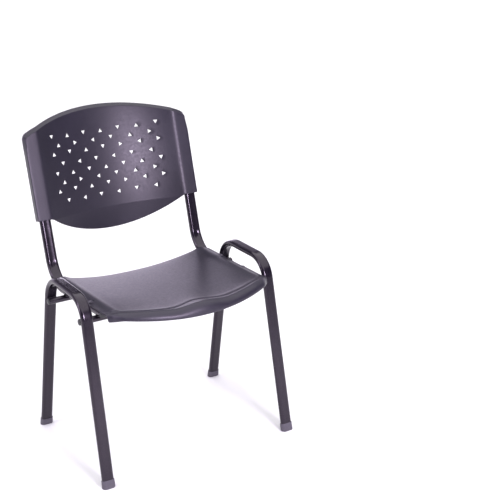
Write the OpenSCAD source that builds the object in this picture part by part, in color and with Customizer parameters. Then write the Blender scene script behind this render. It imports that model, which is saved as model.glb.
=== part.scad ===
// Stacking chair. Two bent leg loops and two bent seat-and-back tubes are welded to two
// cross tubes. A moulded seat shell is screwed to the rails, and a moulded back shell with
// triangular holes slides over the uprights. The origin is on the floor under the middle
// of the chair, -Y is the front and +Z is up. Each left piece mirrors its right piece.

/* [Flat oval tube] */
// Width of the tube, across the chair
tube_w = 30; // [29:0.5:30.5]
// Thickness of the tube, in the plane of its bends
tube_t = 15; // [14:0.5:15]
// Wall thickness of every tube
tube_wall = 1.5; // [1.2:0.1:1.8]

/* [Leg loops] */
// Distance from the chair's middle plane to the middle of a loop's rail
loop_x = 250; // [249:0.5:253]
// Height of the loop's rail, to its centreline
loop_z = 449; // [446:1:455]
// Outward lean of a loop, in degrees
loop_splay = 0.79; // [0.5:0.01:1]
// Place of the front corner, where the rail and leg centrelines cross
front_corner_y = -151; // [-153:0.5:-149]
// Place of the rear corner, where the rail and leg centrelines cross
rear_corner_y = 42; // [40:0.5:44]
// Lean of the front legs, in degrees
front_lean = 11.4; // [11:0.1:12]
// Lean of the rear legs, in degrees
rear_lean = 12; // [11.5:0.1:12.5]
// Bend radius at the front of the rail
front_bend_r = 58; // [50:1:62]
// Bend radius at the rear of the rail
rear_bend_r = 66; // [58:1:70]

/* [Foot caps] */
// Width of a foot cap
foot_w = 33.4; // [32.5:0.1:34]
// Thickness of a foot cap, front to back
foot_t = 18.8; // [18:0.1:19.5]
// Height of a foot cap
foot_h = 20; // [16:1:26]
// Height of the leg's end above the sole
foot_sole = 5; // [4:0.5:7]

/* [Cross tubes] */
// Outer diameter of the cross tubes
cross_d = 16; // [15:0.5:17]
// Length of the cross tubes without their end caps
cross_len = 526; // [524:1:528]
// Height of the front cross tube
front_cross_z = 396; // [394:0.5:397]
// Height of the rear cross tube
rear_cross_z = 383.5; // [382:0.5:384]

/* [Seat-and-back tubes] */
// Distance from the middle plane to the middle of the tube
upright_x = 209; // [208:0.5:210]
// Backward recline of the uprights, in degrees
recline = 15; // [14:0.5:16]
// Place of the upright's centreline at the datum height
upright_y = 120; // [119:0.5:122]
// Datum height of the uprights and of the back shell
upright_z = 392.6; // [391:0.2:394]
// Bend radius between rail and upright
upright_bend_r = 80; // [74:1:84]
// Length of the upright above the datum, along its slope
upright_len = 365; // [355:1:368]
// Front end of the rail under the seat
rail_front_y = -170; // [-172:1:-164]

/* [Seat shell] */
// Half the width of the seat
seat_half_w = 222; // [219:0.5:222]
// Thickness of the seat's plastic
seat_t = 4; // [3.5:0.1:4.2]
// Place of the front lip's bottom edge on the middle plane
seat_front_y = -288.4; // [-290:0.1:-285]
// Place of the rear edge on the middle plane
seat_rear_y = 116; // [110:0.5:118]
// Depth of the front lip, from its bottom edge back to the ridge
lip_depth = 21; // [18:1:24]

/* [Back shell] */
// Half the width of the back
back_half_w = 230; // [229:0.5:232]
// Thickness of the back's plastic
back_t = 4; // [3.5:0.1:4.5]
// Height of the back's top edge above the datum, on the middle plane
back_top = 436.7; // [432:0.1:440]
// Height of the horizontal crease above the datum
crease_s = 165; // [160:1:170]
// Lowest point of the back's lip above the datum, along its slope
lip_bottom_s = 106.2; // [102:0.2:110]
// Backward turn of the lip below the crease, in degrees
lip_turn = 11.7; // [10:0.1:13]
// Depth of the hollow of the panel behind the uprights
back_hollow = 42; // [40:0.5:44]
// Depth of the rim that turns backwards along the top
rim_depth = 15; // [10:0.5:16]
// Side length of a triangular hole
hole_side = 12; // [9:0.5:12.5]

/* [Hardware] */
// Diameter of the screws
screw_d = 5; // [4:0.5:5]
// Diameter of the screw heads
screw_head_d = 10; // [8:0.5:10]
// Places of the seat screws along the rail
seat_screw_y = [-103, 8]; // [-110:1:15]
// Height of the back screws above the datum
back_screw_s = 185; // [180:1:190]

/* [Hidden] */
$fn = 64;

frame_colour = [0.07, 0.07, 0.08];
shell_colour = [0.24, 0.23, 0.26];
cap_colour = [0.33, 0.33, 0.35];
plug_colour = [0.12, 0.12, 0.13];
steel_colour = [0.62, 0.63, 0.65];

gap = 0.05;
plug_flange = 3;
plug_spigot = 14;
rail_hole_d = screw_d + 1;
bead_len = tube_w - tube_t + 6;

// The cross tubes lie behind the front legs and in front of the rear legs.
seat_offset = tube_t / 2 + gap + cross_d / 2;
front_cross_y = front_corner_y - (loop_z - front_cross_z) * tan(front_lean)
    + seat_offset / cos(front_lean);
rear_cross_y = rear_corner_y + (loop_z - rear_cross_z) * tan(rear_lean)
    - seat_offset / cos(rear_lean);

// The seat rails lie on top of the cross tubes and rise towards the front.
rail_slope = atan((front_cross_z - rear_cross_z) / (rear_cross_y - front_cross_y));
rail_ref_y = rear_cross_y + seat_offset * sin(rail_slope);
rail_ref_z = rear_cross_z + seat_offset * cos(rail_slope);
function rail_z(y) = rail_ref_z + (rail_ref_y - y) * tan(rail_slope);

// The corner between rail and upright is where their centrelines cross.
corner_z = (rail_ref_z + (rail_ref_y - upright_y + upright_z * tan(recline)) * tan(rail_slope))
    / (1 + tan(recline) * tan(rail_slope));
corner_y = upright_y + (corner_z - upright_z) * tan(recline);
upright_turn = 90 - recline + rail_slope;
upright_tangent = upright_bend_r * tan(upright_turn / 2);
rail_len = (corner_y - rail_front_y) / cos(rail_slope) - upright_tangent;
upright_run = upright_len - (corner_z - upright_z) / cos(recline) - upright_tangent;

// Leg lengths and bends.
front_turn = 90 - front_lean;
rear_turn = 90 - rear_lean;
front_tangent = front_bend_r * tan(front_turn / 2);
rear_tangent = rear_bend_r * tan(rear_turn / 2);
loop_rail_len = rear_corner_y - front_corner_y - front_tangent - rear_tangent;
front_leg_len = loop_z / cos(front_lean) - front_tangent - foot_sole;
rear_leg_len = loop_z / cos(rear_lean) - rear_tangent - foot_sole;
front_foot_y = front_corner_y - loop_z * tan(front_lean);
rear_foot_y = rear_corner_y + loop_z * tan(rear_lean);

// ---- Tubes ----------------------------------------------------------------------------

// Flat oval, wide along X.
module oval(w, t) {
    square([w - t, t], center = true);
    for (side = [-1, 1]) translate([side * (w - t) / 2, 0]) circle(d = t);
}

module tube_section() {
    difference() {
        oval(tube_w, tube_t);
        oval(tube_w - 2 * tube_wall, tube_t - 2 * tube_wall);
    }
}

// A short collar, a hair proud inside and out, that joins a straight stretch to a bend.
module collar() {
    linear_extrude(1, center = true) difference() {
        oval(tube_w + 2 * gap, tube_t + 2 * gap);
        oval(tube_w - 2 * tube_wall - 2 * gap, tube_t - 2 * tube_wall - 2 * gap);
    }
}

// A straight stretch of tube along +Z. Its children start at its far end.
module run(length) {
    linear_extrude(length) tube_section();
    translate([0, 0, length]) children();
}

// A bend that starts along +Z and turns towards -Y. Its children start at its far end.
// It stops a hair short of its neighbours, inside the two collars.
module turn(radius, angle) {
    short = 0.1;
    collar();
    translate([0, -radius, 0]) rotate([90, 0, 90]) rotate(short)
        rotate_extrude(angle = angle - 2 * short)
            translate([radius, 0]) rotate(90) tube_section();
    translate([0, radius * (cos(angle) - 1), radius * sin(angle)]) rotate([angle, 0, 0]) {
        collar();
        children();
    }
}

// ---- Leg loops and feet ---------------------------------------------------------------

module loop_frame() {
    translate([loop_x, 0, loop_z]) rotate([0, -loop_splay, 0]) translate([0, 0, -loop_z])
        children();
}

module leg_loop() {
    color(frame_colour) loop_frame() translate([0, rear_foot_y, 0]) rotate([rear_lean, 0, 0])
        translate([0, 0, foot_sole]) run(rear_leg_len) turn(rear_bend_r, rear_turn)
            run(loop_rail_len) turn(front_bend_r, front_turn) run(front_leg_len);
}

// A cap that follows the leg's lean and is cut level with the floor.
module foot_cap(foot_y, lean) {
    color(cap_colour) intersection() {
        translate([loop_x - foot_w, foot_y - foot_w, 0]) cube([2 * foot_w, 2 * foot_w, 2 * foot_h]);
        loop_frame() translate([0, foot_y, 0]) rotate([lean, 0, 0]) difference() {
            translate([0, 0, -foot_h]) linear_extrude(2 * foot_h) oval(foot_w, foot_t);
            translate([0, 0, foot_sole - gap]) linear_extrude(2 * foot_h)
                oval(tube_w + 2 * gap, tube_t + 2 * gap);
        }
    }
}

// ---- Cross tubes ----------------------------------------------------------------------

module cross_tube(y, z) {
    color(frame_colour) translate([-cross_len / 2, y, z]) rotate([0, 90, 0]) difference() {
        cylinder(d = cross_d, h = cross_len);
        translate([0, 0, -1]) cylinder(d = cross_d - 2 * tube_wall, h = cross_len + 2);
    }
}

// A push-in cap at the tube's right end: a low dome on a spigot.
module tube_cap(y, z) {
    dome_h = 3;
    dome_r = (cross_d * cross_d / 4 + dome_h * dome_h) / (2 * dome_h);
    spigot_d = cross_d - 2 * tube_wall - 2 * gap;
    color(cap_colour) translate([cross_len / 2, y, z]) rotate([0, 90, 0]) {
        intersection() {
            translate([0, 0, dome_h - dome_r]) sphere(r = dome_r);
            cylinder(d = cross_d, h = dome_h);
        }
        translate([0, 0, -plug_spigot]) cylinder(d = spigot_d, h = plug_spigot);
    }
}

// Two weld beads in the nips between a cross tube and a flat tube that lies on its +Z side.
module bead_pair(length) {
    root = cross_d / 8;
    width = cross_d / 2 + 0.4;
    toe = cross_d / 2 - 0.7;
    for (side = [0, 1]) mirror([0, side, 0]) rotate([90, 0, 90])
        linear_extrude(length, center = true) difference() {
            polygon([[root, root], [root, cross_d / 2], [width, cross_d / 2], [toe, root]]);
            circle(r = cross_d / 2 + gap);
        }
}

module cross_welds(y, z, leg_tilt) {
    leg_x = loop_x + (loop_z - z) * tan(loop_splay);
    color(frame_colour) for (side = [0, 1]) mirror([side, 0, 0]) {
        translate([leg_x, y, z]) rotate([leg_tilt, 0, 0]) bead_pair(bead_len);
        translate([upright_x, y, z]) rotate([-rail_slope, 0, 0]) bead_pair(bead_len);
    }
}

// ---- Seat-and-back tubes ---------------------------------------------------------------

// Origin at the rail's front end, +Z along the rail towards the rear.
module rail_start() {
    translate([upright_x, rail_front_y, rail_z(rail_front_y)]) rotate([-90 - rail_slope, 0, 0])
        children();
}

// Origin on the rail's centreline at a given place, +Z square to the rail.
module on_rail(y) {
    translate([upright_x, y, rail_z(y)]) rotate([-rail_slope, 0, 0]) children();
}

// Origin at the datum, +Z up the slope of the uprights, +Y backwards.
module upright_frame() {
    translate([0, upright_y, upright_z]) rotate([-recline, 0, 0]) children();
}

module back_upright() {
    color(frame_colour) difference() {
        rail_start() run(rail_len) turn(upright_bend_r, upright_turn) run(upright_run);
        for (y = seat_screw_y) on_rail(y) cylinder(d = rail_hole_d, h = tube_w, center = true);
        upright_frame() translate([upright_x, 0, back_screw_s]) rotate([-90, 0, 0])
            cylinder(d = screw_d + 2 * gap, h = tube_t);
    }
}

// A plug whose flange covers the end of a flat tube that reaches back along +Z.
module tube_plug() {
    translate([0, 0, -plug_flange - gap]) linear_extrude(plug_flange) oval(tube_w, tube_t);
    translate([0, 0, -plug_flange / 2]) linear_extrude(plug_spigot)
        oval(tube_w - 2 * tube_wall - 2 * gap, tube_t - 2 * tube_wall - 2 * gap);
}

module rail_plug() {
    color(plug_colour) rail_start() tube_plug();
}

module upright_plug() {
    color(plug_colour) upright_frame() translate([upright_x, 0, upright_len]) mirror([0, 0, 1])
        tube_plug();
}

// ---- Seat shell ------------------------------------------------------------------------

seat_columns = 30;
lip_rows = 4;
seat_rows = 18;
seat_rows_all = lip_rows + seat_rows;
edge_front = [-217, 427];
edge_rear = [85, 419];
seat_low = 384.6;
seat_high = 430;
skirt = 3;
seat_boss_d = 14;
seat_boss_roof = 0.5;

function bell(v) = exp(-v * v);
// Columns crowd towards the sides, so that the edge is drawn finely.
function column_u(i) = sin(90 * (2 * i / seat_columns - 1));
// Front outline: the lip sweeps back towards the corners.
function sweep(u) = 56.4 * u * u + 9.3 * pow(u, 4);
function lip_y(u) = seat_front_y + sweep(u);
function lip_z(u) = 404.7 + 17.9 * u * u - 5.5 * pow(u, 4);
function rear_y(u) = seat_rear_y - 11.2 * u * u - 19.9 * pow(u, 4);
// The ridge above the lip rises in the middle and outside each thigh hollow.
function ridge_wave(u) = 4 * bell(u / 0.17) - 3 * bell((abs(u) - 0.33) / 0.14)
    + 3 * bell((abs(u) - 0.77) / 0.14);
// The dish falls quickly behind the ridge, then gently, and rolls off at the rear edge.
function dish_z(k) = seat_low + (seat_high - seat_low)
    * (0.75 * pow(max(0, 1 - k), 0.6) + 0.25 * exp(-k / 0.07));
// The side ledge falls in a straight line from its front end to its rear end.
function edge_z(y) = edge_front[1]
    + (edge_rear[1] - edge_front[1]) * (y - edge_front[0]) / (edge_rear[0] - edge_front[0]);
// Share of the side ledge's height that a place across the seat takes.
function side_share(u) = pow(min(1, abs(u) / 0.92), 2.4);
function seat_y(u, k) = lip_y(u) + lip_depth + (rear_y(u) - lip_y(u) - lip_depth) * k;
function round_over(u) = 1.5 * pow(max(0, (abs(u) - 0.985) / 0.015), 2);
function seat_z(u, k) = dish_z(k) + (edge_z(seat_y(u, k)) - dish_z(k)) * side_share(u)
    + ridge_wave(u) * exp(-k / 0.08) - round_over(u);
// The first rows climb the lip on a quarter ellipse, the others cross the dish.
function lip_angle(r) = 90 * r / lip_rows;
function depth_k(r) = 1 - pow(1 - (r - lip_rows) / seat_rows, 1.4);
function seat_top(i, r) = let (u = column_u(i), a = lip_angle(r), k = depth_k(r))
    r <= lip_rows
        ? [u * seat_half_w,
           lip_y(u) + lip_depth * (1 - cos(a)),
           lip_z(u) + (seat_z(u, 0) - lip_z(u)) * sin(a)]
        : [u * seat_half_w, seat_y(u, k), seat_z(u, k)];
// The sides hang a little lower along the skirts, between the two seat screws.
function skirt_drop(i, y) =
    (i < 2 || i > seat_columns - 2) && y > seat_screw_y[0] && y < seat_screw_y[1] - 10 ? skirt : 0;
function seat_under(i, r) = let (p = seat_top(i, r), a = min(90, lip_angle(r)))
    p + seat_t * [0, cos(a), -sin(a)] - [0, 0, skirt_drop(i, p[1])];

module seat_skin() {
    n = seat_columns + 1;
    m = seat_rows_all + 1;
    top = [for (r = [0 : seat_rows_all]) for (i = [0 : seat_columns]) seat_top(i, r)];
    under = [for (r = [0 : seat_rows_all]) for (i = [0 : seat_columns]) seat_under(i, r)];
    function face(a, b, c, d) = [[a, b, c], [a, c, d]];
    top_faces = [for (r = [0 : m - 2]) for (i = [0 : n - 2])
        each face(r * n + i, (r + 1) * n + i, (r + 1) * n + i + 1, r * n + i + 1)];
    under_faces = [for (f = top_faces) [f[2] + n * m, f[1] + n * m, f[0] + n * m]];
    function wall(a, b) = face(a, b, b + n * m, a + n * m);
    walls = [
        for (i = [0 : n - 2]) each wall(i, i + 1),
        for (i = [0 : n - 2]) each wall((m - 1) * n + i + 1, (m - 1) * n + i),
        for (r = [0 : m - 2]) each wall((r + 1) * n, r * n),
        for (r = [0 : m - 2]) each wall(r * n + n - 1, (r + 1) * n + n - 1)
    ];
    polyhedron(concat(top, under), concat(top_faces, under_faces, walls));
}

// Bosses stand on the rails and end inside the thickness of the side ledge.
function boss_height(y) = edge_z(y) - seat_t / 2 - rail_z(y) - tube_t / 2;

module seat_shell() {
    color(shell_colour) {
        seat_skin();
        for (side = [0, 1]) mirror([side, 0, 0]) for (y = seat_screw_y)
            on_rail(y) translate([0, 0, tube_t / 2 + gap]) difference() {
                cylinder(d = seat_boss_d, h = boss_height(y) - gap);
                translate([0, 0, -1])
                    cylinder(d = screw_d + 2 * gap, h = boss_height(y) + 1 - seat_boss_roof);
            }
    }
}

// ---- Back shell ------------------------------------------------------------------------

sleeve_x = [190, back_half_w];
sleeve_y = 10;
sleeve_corner = 4;
sleeve_bottom = crease_s - 2;
sleeve_roof = upright_len + plug_flange + 10;
panel_x = 192;
panel_r = (panel_x * panel_x + (back_hollow + sleeve_y) * (back_hollow + sleeve_y))
    / (2 * (back_hollow + sleeve_y));
panel_centre_y = back_hollow - panel_r;
top_r = 510;
top_centre_s = back_top - top_r;
corner_r = 20;
corner_x = back_half_w - corner_r;
corner_s = top_centre_s + sqrt(pow(top_r - corner_r, 2) - corner_x * corner_x);
sleeve_bite = 0.6;
// The lip's lower edge is an arc that meets the sleeves at their inner bottom corners. Before
// the lip is turned backwards, that is above the crease. It crosses the crease at lip_reach.
lip_end_s = 175;
lip_rise = lip_end_s - lip_bottom_s;
lip_arc_r = (panel_x * panel_x + lip_rise * lip_rise) / (2 * lip_rise);
lip_reach = 186;
rim_t = 3.5;

// Each hole points up, down, left or right.
hole_rows = [
    "DUDUDUD", "URLDUR", "UDUDRLR", "DLDLDL",
    "DUDUDUD", "URLDUR", "UDUDRLR", "DLDLDL"
];
hole_pitches = [49.6, 52.4, 50, 50.3];
row_drops = [0, 22, 43.5, 71];
row_period = 95.2;
first_row_s = 367;

function hole_angle(way) = way == "U" ? 0 : way == "L" ? 90 : way == "D" ? 180 : -90;
function row_s(row) = first_row_s - row_drops[row % 4] - row_period * floor(row / 4);

// Outline of the back above the crease, seen from the front, inset by a margin.
module back_outline(margin) {
    past = 1.2 * (top_r - margin) / (corner_s - top_centre_s);
    intersection() {
        translate([0, top_centre_s]) circle(r = top_r - margin, $fn = 256);
        translate([0, top_centre_s]) scale(past) polygon([
            [0, 0],
            [corner_x, corner_s - top_centre_s],
            [-corner_x, corner_s - top_centre_s]
        ]);
        translate([-back_half_w, sleeve_bottom]) square([2 * back_half_w, top_r]);
    }
    translate([-back_half_w + margin, sleeve_bottom])
        square([2 * (back_half_w - margin), corner_s - sleeve_bottom]);
    for (side = [-1, 1]) translate([side * corner_x, corner_s]) circle(r = corner_r - margin);
}

// A slab that is curved about a vertical axis, from the panel's front face backwards. It ends
// a little inside the sleeves.
module curved_slab(depth, low, high) {
    translate([0, panel_centre_y, low]) linear_extrude(high - low) difference() {
        circle(r = panel_r + depth, $fn = 256);
        circle(r = panel_r, $fn = 256);
        translate([-panel_r * 2, -panel_r * 3 - panel_centre_y - sleeve_y + sleeve_bite])
            square([panel_r * 4, panel_r * 3]);
    }
}

module facing(depth) {
    rotate([90, 0, 0]) linear_extrude(depth, center = true) children();
}

module sleeve_section() {
    inner = [sleeve_x[1] - sleeve_x[0] - 2 * sleeve_corner, 2 * (sleeve_y - sleeve_corner)];
    translate([sleeve_x[0] + sleeve_corner, -sleeve_y])
        square([inner[0], 2 * sleeve_y]);
    translate([sleeve_x[0], -sleeve_y + sleeve_corner])
        square([inner[0] + 2 * sleeve_corner, inner[1]]);
    for (x = [sleeve_x[0] + sleeve_corner, sleeve_x[1] - sleeve_corner])
        for (y = [-1, 1]) translate([x, y * (sleeve_y - sleeve_corner)]) circle(r = sleeve_corner);
}

module sleeves(low, high) {
    translate([0, 0, low]) linear_extrude(high - low)
        for (side = [0, 1]) mirror([side, 0]) sleeve_section();
}

// The space on one side of the plane that halves the crease. The two sides overlap a little,
// so that the panel and the lip cross in a fine ridge along the crease.
module beside_crease(above) {
    big = 3 * back_half_w;
    overlap = 0.4;
    translate([0, back_hollow, crease_s]) rotate([lip_turn / 2, 0, 0])
        translate([-big / 2, -big / 2, above ? -overlap : overlap - big]) cube(big);
}

module panel() {
    intersection() {
        curved_slab(back_t, lip_bottom_s, back_top);
        facing(4 * back_half_w) union() {
            back_outline(0);
            translate([-lip_reach, lip_bottom_s]) square([2 * lip_reach, crease_s - lip_bottom_s]);
        }
        beside_crease(true);
    }
}

module lip() {
    intersection() {
        beside_crease(false);
        translate([0, back_hollow, crease_s]) rotate([lip_turn, 0, 0])
            translate([0, -back_hollow, -crease_s]) intersection() {
                curved_slab(back_t, lip_bottom_s, crease_s + back_hollow);
                facing(4 * back_half_w) translate([0, lip_bottom_s + lip_arc_r])
                    circle(r = lip_arc_r, $fn = 256);
            }
    }
}

module rim() {
    intersection() {
        curved_slab(rim_depth, corner_s, back_top);
        facing(4 * back_half_w) difference() {
            back_outline(0);
            back_outline(rim_t);
        }
        translate([-panel_x, -back_half_w, 0]) cube([2 * panel_x, 2 * back_half_w, 2 * back_top]);
    }
}

module triangle_hole(way) {
    height = hole_side * sin(60);
    rotate(hole_angle(way)) translate([0, -height / 2])
        polygon([[-hole_side / 2, 0], [hole_side / 2, 0], [0, height]]);
}

module hole_pattern() {
    for (row = [0 : len(hole_rows) - 1]) {
        count = len(hole_rows[row]);
        for (i = [0 : count - 1])
            translate([(i - (count - 1) / 2) * hole_pitches[row % 4], row_s(row)])
                triangle_hole(hole_rows[row][i]);
    }
}

module back_shell() {
    color(shell_colour) upright_frame() difference() {
        union() {
            intersection() {
                sleeves(sleeve_bottom, back_top);
                facing(4 * back_half_w) back_outline(0);
            }
            panel();
            lip();
            rim();
        }
        facing(4 * back_half_w) hole_pattern();
        for (side = [0, 1]) mirror([side, 0, 0]) {
            translate([upright_x, 0, sleeve_bottom - 1])
                linear_extrude(sleeve_roof - sleeve_bottom + 1)
                    oval(tube_w + 2 * gap, tube_t + 2 * gap);
            translate([upright_x, 0, back_screw_s]) rotate([-90, 0, 0])
                cylinder(d = screw_d + 2 * gap, h = 2 * sleeve_y);
        }
    }
}

// ---- Fasteners --------------------------------------------------------------------------

// A pan-head screw along +Z with its head below the origin and a cross recess in the head.
module screw(length) {
    head_h = 3;
    recess_w = screw_head_d * 0.5;
    slot_w = screw_head_d * 0.12;
    recess_h = 1.4;
    difference() {
        union() {
            translate([0, 0, -gap]) cylinder(d = screw_d, h = length);
            translate([0, 0, -head_h]) cylinder(d = screw_head_d, h = head_h - gap);
        }
        for (angle = [0, 90]) rotate(angle)
            translate([-recess_w / 2, -slot_w / 2, -head_h - 1])
                cube([recess_w, slot_w, recess_h + 1]);
    }
}

washer_t = 1;

module seat_screws() {
    color(steel_colour) for (side = [0, 1]) mirror([side, 0, 0]) for (y = seat_screw_y)
        on_rail(y) translate([0, 0, -tube_t / 2 - washer_t - 2 * gap])
            screw(tube_t + washer_t + boss_height(y) - 1);
}

module seat_washers() {
    color(steel_colour) for (side = [0, 1]) mirror([side, 0, 0]) for (y = seat_screw_y)
        on_rail(y) translate([0, 0, -tube_t / 2 - washer_t - gap]) difference() {
            cylinder(d = screw_head_d + 2, h = washer_t);
            translate([0, 0, -1]) cylinder(d = screw_d + 0.5, h = washer_t + 2);
        }
}

module back_screws() {
    color(steel_colour) upright_frame() for (side = [-1, 1])
        translate([side * upright_x, sleeve_y + gap, back_screw_s]) rotate([90, 0, 0])
            screw(sleeve_y - tube_t / 2 + tube_wall + 6);
}

mirror([1, 0, 0]) leg_loop();  // left_leg_loop
leg_loop();  // right_leg_loop
cross_tube(front_cross_y, front_cross_z);  // front_cross_tube
cross_tube(rear_cross_y, rear_cross_z);  // rear_cross_tube
mirror([1, 0, 0]) tube_cap(front_cross_y, front_cross_z);  // front_left_tube_cap
tube_cap(front_cross_y, front_cross_z);  // front_right_tube_cap
mirror([1, 0, 0]) tube_cap(rear_cross_y, rear_cross_z);  // rear_left_tube_cap
tube_cap(rear_cross_y, rear_cross_z);  // rear_right_tube_cap
mirror([1, 0, 0]) back_upright();  // left_back_upright
back_upright();  // right_back_upright
cross_welds(front_cross_y, front_cross_z, front_turn);  // front_cross_welds
cross_welds(rear_cross_y, rear_cross_z, -rear_turn);  // rear_cross_welds
mirror([1, 0, 0]) rail_plug();  // left_rail_plug
rail_plug();  // right_rail_plug
mirror([1, 0, 0]) upright_plug();  // left_upright_plug
upright_plug();  // right_upright_plug
seat_shell();
seat_screws();
seat_washers();
back_shell();
back_screws();
mirror([1, 0, 0]) foot_cap(front_foot_y, -front_lean);  // front_left_foot
foot_cap(front_foot_y, -front_lean);  // front_right_foot
mirror([1, 0, 0]) foot_cap(rear_foot_y, rear_lean);  // rear_left_foot
foot_cap(rear_foot_y, rear_lean);  // rear_right_foot
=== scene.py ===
"""Looks of the stacking chair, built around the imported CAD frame.

Lengths are in millimetres until a mesh is made, where MM turns them into metres.
-Y is the chair's front, +Z is up, and every left piece mirrors its right piece.
"""
import math

import bmesh
import bpy
import numpy as np
from mathutils import Matrix, Vector
from mathutils.geometry import delaunay_2d_cdt


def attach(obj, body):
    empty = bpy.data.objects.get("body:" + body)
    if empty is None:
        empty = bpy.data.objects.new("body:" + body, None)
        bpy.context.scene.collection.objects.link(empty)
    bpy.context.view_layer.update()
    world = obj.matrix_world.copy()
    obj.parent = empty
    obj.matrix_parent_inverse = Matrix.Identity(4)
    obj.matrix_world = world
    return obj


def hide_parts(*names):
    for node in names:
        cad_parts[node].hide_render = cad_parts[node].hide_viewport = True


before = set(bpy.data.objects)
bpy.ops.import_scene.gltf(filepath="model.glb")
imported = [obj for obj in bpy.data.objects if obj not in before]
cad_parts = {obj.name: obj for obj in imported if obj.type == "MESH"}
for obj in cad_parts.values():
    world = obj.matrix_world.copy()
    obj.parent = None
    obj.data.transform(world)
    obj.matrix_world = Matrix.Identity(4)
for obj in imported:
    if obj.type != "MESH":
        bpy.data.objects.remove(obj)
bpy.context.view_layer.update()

MM = 0.001
BODY = "root"

# Flat oval tube.
TUBE_W, TUBE_T, TUBE_WALL = 30.0, 15.0, 1.5
# Leg loops.
LOOP_X, LOOP_Z, LOOP_SPLAY = 250.0, 449.0, 0.79
FRONT_CORNER_Y, REAR_CORNER_Y = -151.0, 42.0
FRONT_LEAN, REAR_LEAN = 11.4, 12.0
FRONT_BEND_R, REAR_BEND_R = 58.0, 66.0
# Foot caps.
FOOT_W, FOOT_T, FOOT_H, FOOT_SOLE = 33.4, 18.8, 20.0, 5.0
# Cross tubes.
CROSS_D, CROSS_LEN = 16.0, 526.0
FRONT_CROSS_Z, REAR_CROSS_Z = 396.0, 383.5
# Seat-and-back tubes, and the datum of the back.
UPRIGHT_X, RECLINE, UPRIGHT_Y, UPRIGHT_Z = 209.0, 15.0, 120.0, 392.6
UPRIGHT_BEND_R, UPRIGHT_LEN, RAIL_FRONT_Y = 80.0, 365.0, -170.0
# Clearance between pieces that touch, the plugs' flange and the places of the seat screws.
GAP = 0.05
PLUG_FLANGE = 3.0
SEAT_SCREW_Y = (-103.0, 8.0)


# Trigonometry in degrees.
def tan(degrees):
    return math.tan(math.radians(degrees))


def cos(degrees):
    return math.cos(math.radians(degrees))


def sin(degrees):
    return math.sin(math.radians(degrees))


# The cross tubes touch the legs, and the rails lie on the cross tubes.
STACK = TUBE_T / 2 + GAP + CROSS_D / 2
FRONT_CROSS_Y = FRONT_CORNER_Y - (LOOP_Z - FRONT_CROSS_Z) * tan(FRONT_LEAN) + STACK / cos(FRONT_LEAN)
REAR_CROSS_Y = REAR_CORNER_Y + (LOOP_Z - REAR_CROSS_Z) * tan(REAR_LEAN) - STACK / cos(REAR_LEAN)
RAIL_SLOPE = math.degrees(
    math.atan((FRONT_CROSS_Z - REAR_CROSS_Z) / (REAR_CROSS_Y - FRONT_CROSS_Y)))
RAIL_REF_Y = REAR_CROSS_Y + STACK * sin(RAIL_SLOPE)
RAIL_REF_Z = REAR_CROSS_Z + STACK * cos(RAIL_SLOPE)


def rail_z(y):
    """Height of the seat rail's centreline."""
    return RAIL_REF_Z + (RAIL_REF_Y - y) * tan(RAIL_SLOPE)


# ---- Mesh helpers ----

def new_object(name, verts, faces, sharp):
    """An object in metres from a mesh in millimetres."""
    mesh = bpy.data.meshes.new(name)
    mesh.from_pydata([tuple(float(c) * MM for c in v) for v in verts], [], faces)
    tidy_mesh(mesh, sharp)
    piece = bpy.data.objects.new(name, mesh)
    bpy.context.collection.objects.link(piece)
    return piece


def add_piece(name, verts, faces, material, slot, replaced, sharp=40.0):
    """A piece that rides on the chair and stands for a CAD node."""
    piece = new_object(name, verts, faces, sharp)
    piece.data.materials.append(material)
    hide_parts(replaced)
    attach(piece, BODY)
    return piece


def tidy_mesh(mesh, sharp):
    """Merge doubles, point the faces outwards and shade smooth up to the sharp angle."""
    bm = bmesh.new()
    bm.from_mesh(mesh)
    bmesh.ops.remove_doubles(bm, verts=bm.verts, dist=1e-6)
    bmesh.ops.recalc_face_normals(bm, faces=bm.faces)
    bm.to_mesh(mesh)
    bm.free()
    mesh.shade_smooth()
    mesh.set_sharp_from_angle(angle=math.radians(sharp))


def quarter(steps):
    """(sine, cosine) pairs round a quarter turn."""
    turns = [math.pi / 2 * i / steps for i in range(steps + 1)]
    return [(math.sin(a), math.cos(a)) for a in turns]


def bridged(ring_a, ring_b):
    """Quads between two rings of vertex numbers."""
    count = len(ring_a)
    return [(ring_a[i], ring_a[(i + 1) % count], ring_b[(i + 1) % count], ring_b[i])
            for i in range(count)]


def loft(rings, closed=False):
    """Vertices and faces through rings of equal length. Closed joins the last ring to the
    first; otherwise the two end rings are filled."""
    count = len(rings[0])
    verts = [p for ring in rings for p in ring]
    loops = [range(r * count, (r + 1) * count) for r in range(len(rings))]
    faces = []
    for a, b in zip(loops, loops[1:] + loops[:1] if closed else loops[1:]):
        faces += bridged(a, b)
    if not closed:
        faces += [tuple(loops[0]), tuple(loops[-1])]
    return verts, faces


def merged(parts):
    """One vertex and face list from several."""
    verts, faces = [], []
    for part_verts, part_faces in parts:
        offset = len(verts)
        verts.extend(part_verts)
        faces.extend(tuple(i + offset for i in f) for f in part_faces)
    return verts, faces


def mirrored(part):
    """The same mesh across the chair's middle plane."""
    verts, faces = part
    return [(-v[0], v[1], v[2]) for v in verts], faces


def moved(part, matrix):
    """The same mesh after a transform."""
    verts, faces = part
    return [tuple(matrix @ Vector(v)) for v in verts], faces


def at(x, y, z, tilt=0.0):
    """Move to a place after tilting +Z towards -Y."""
    return Matrix.Translation((x, y, z)) @ Matrix.Rotation(math.radians(tilt), 4, "X")


LOOP_FRAME = (
    Matrix.Translation((LOOP_X, 0, LOOP_Z))
    @ Matrix.Rotation(math.radians(-LOOP_SPLAY), 4, "Y")
    @ Matrix.Translation((0, 0, -LOOP_Z))
)
BACK_FRAME = at(0, UPRIGHT_Y, UPRIGHT_Z, -RECLINE)


# ---- Tubes ----

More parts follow.
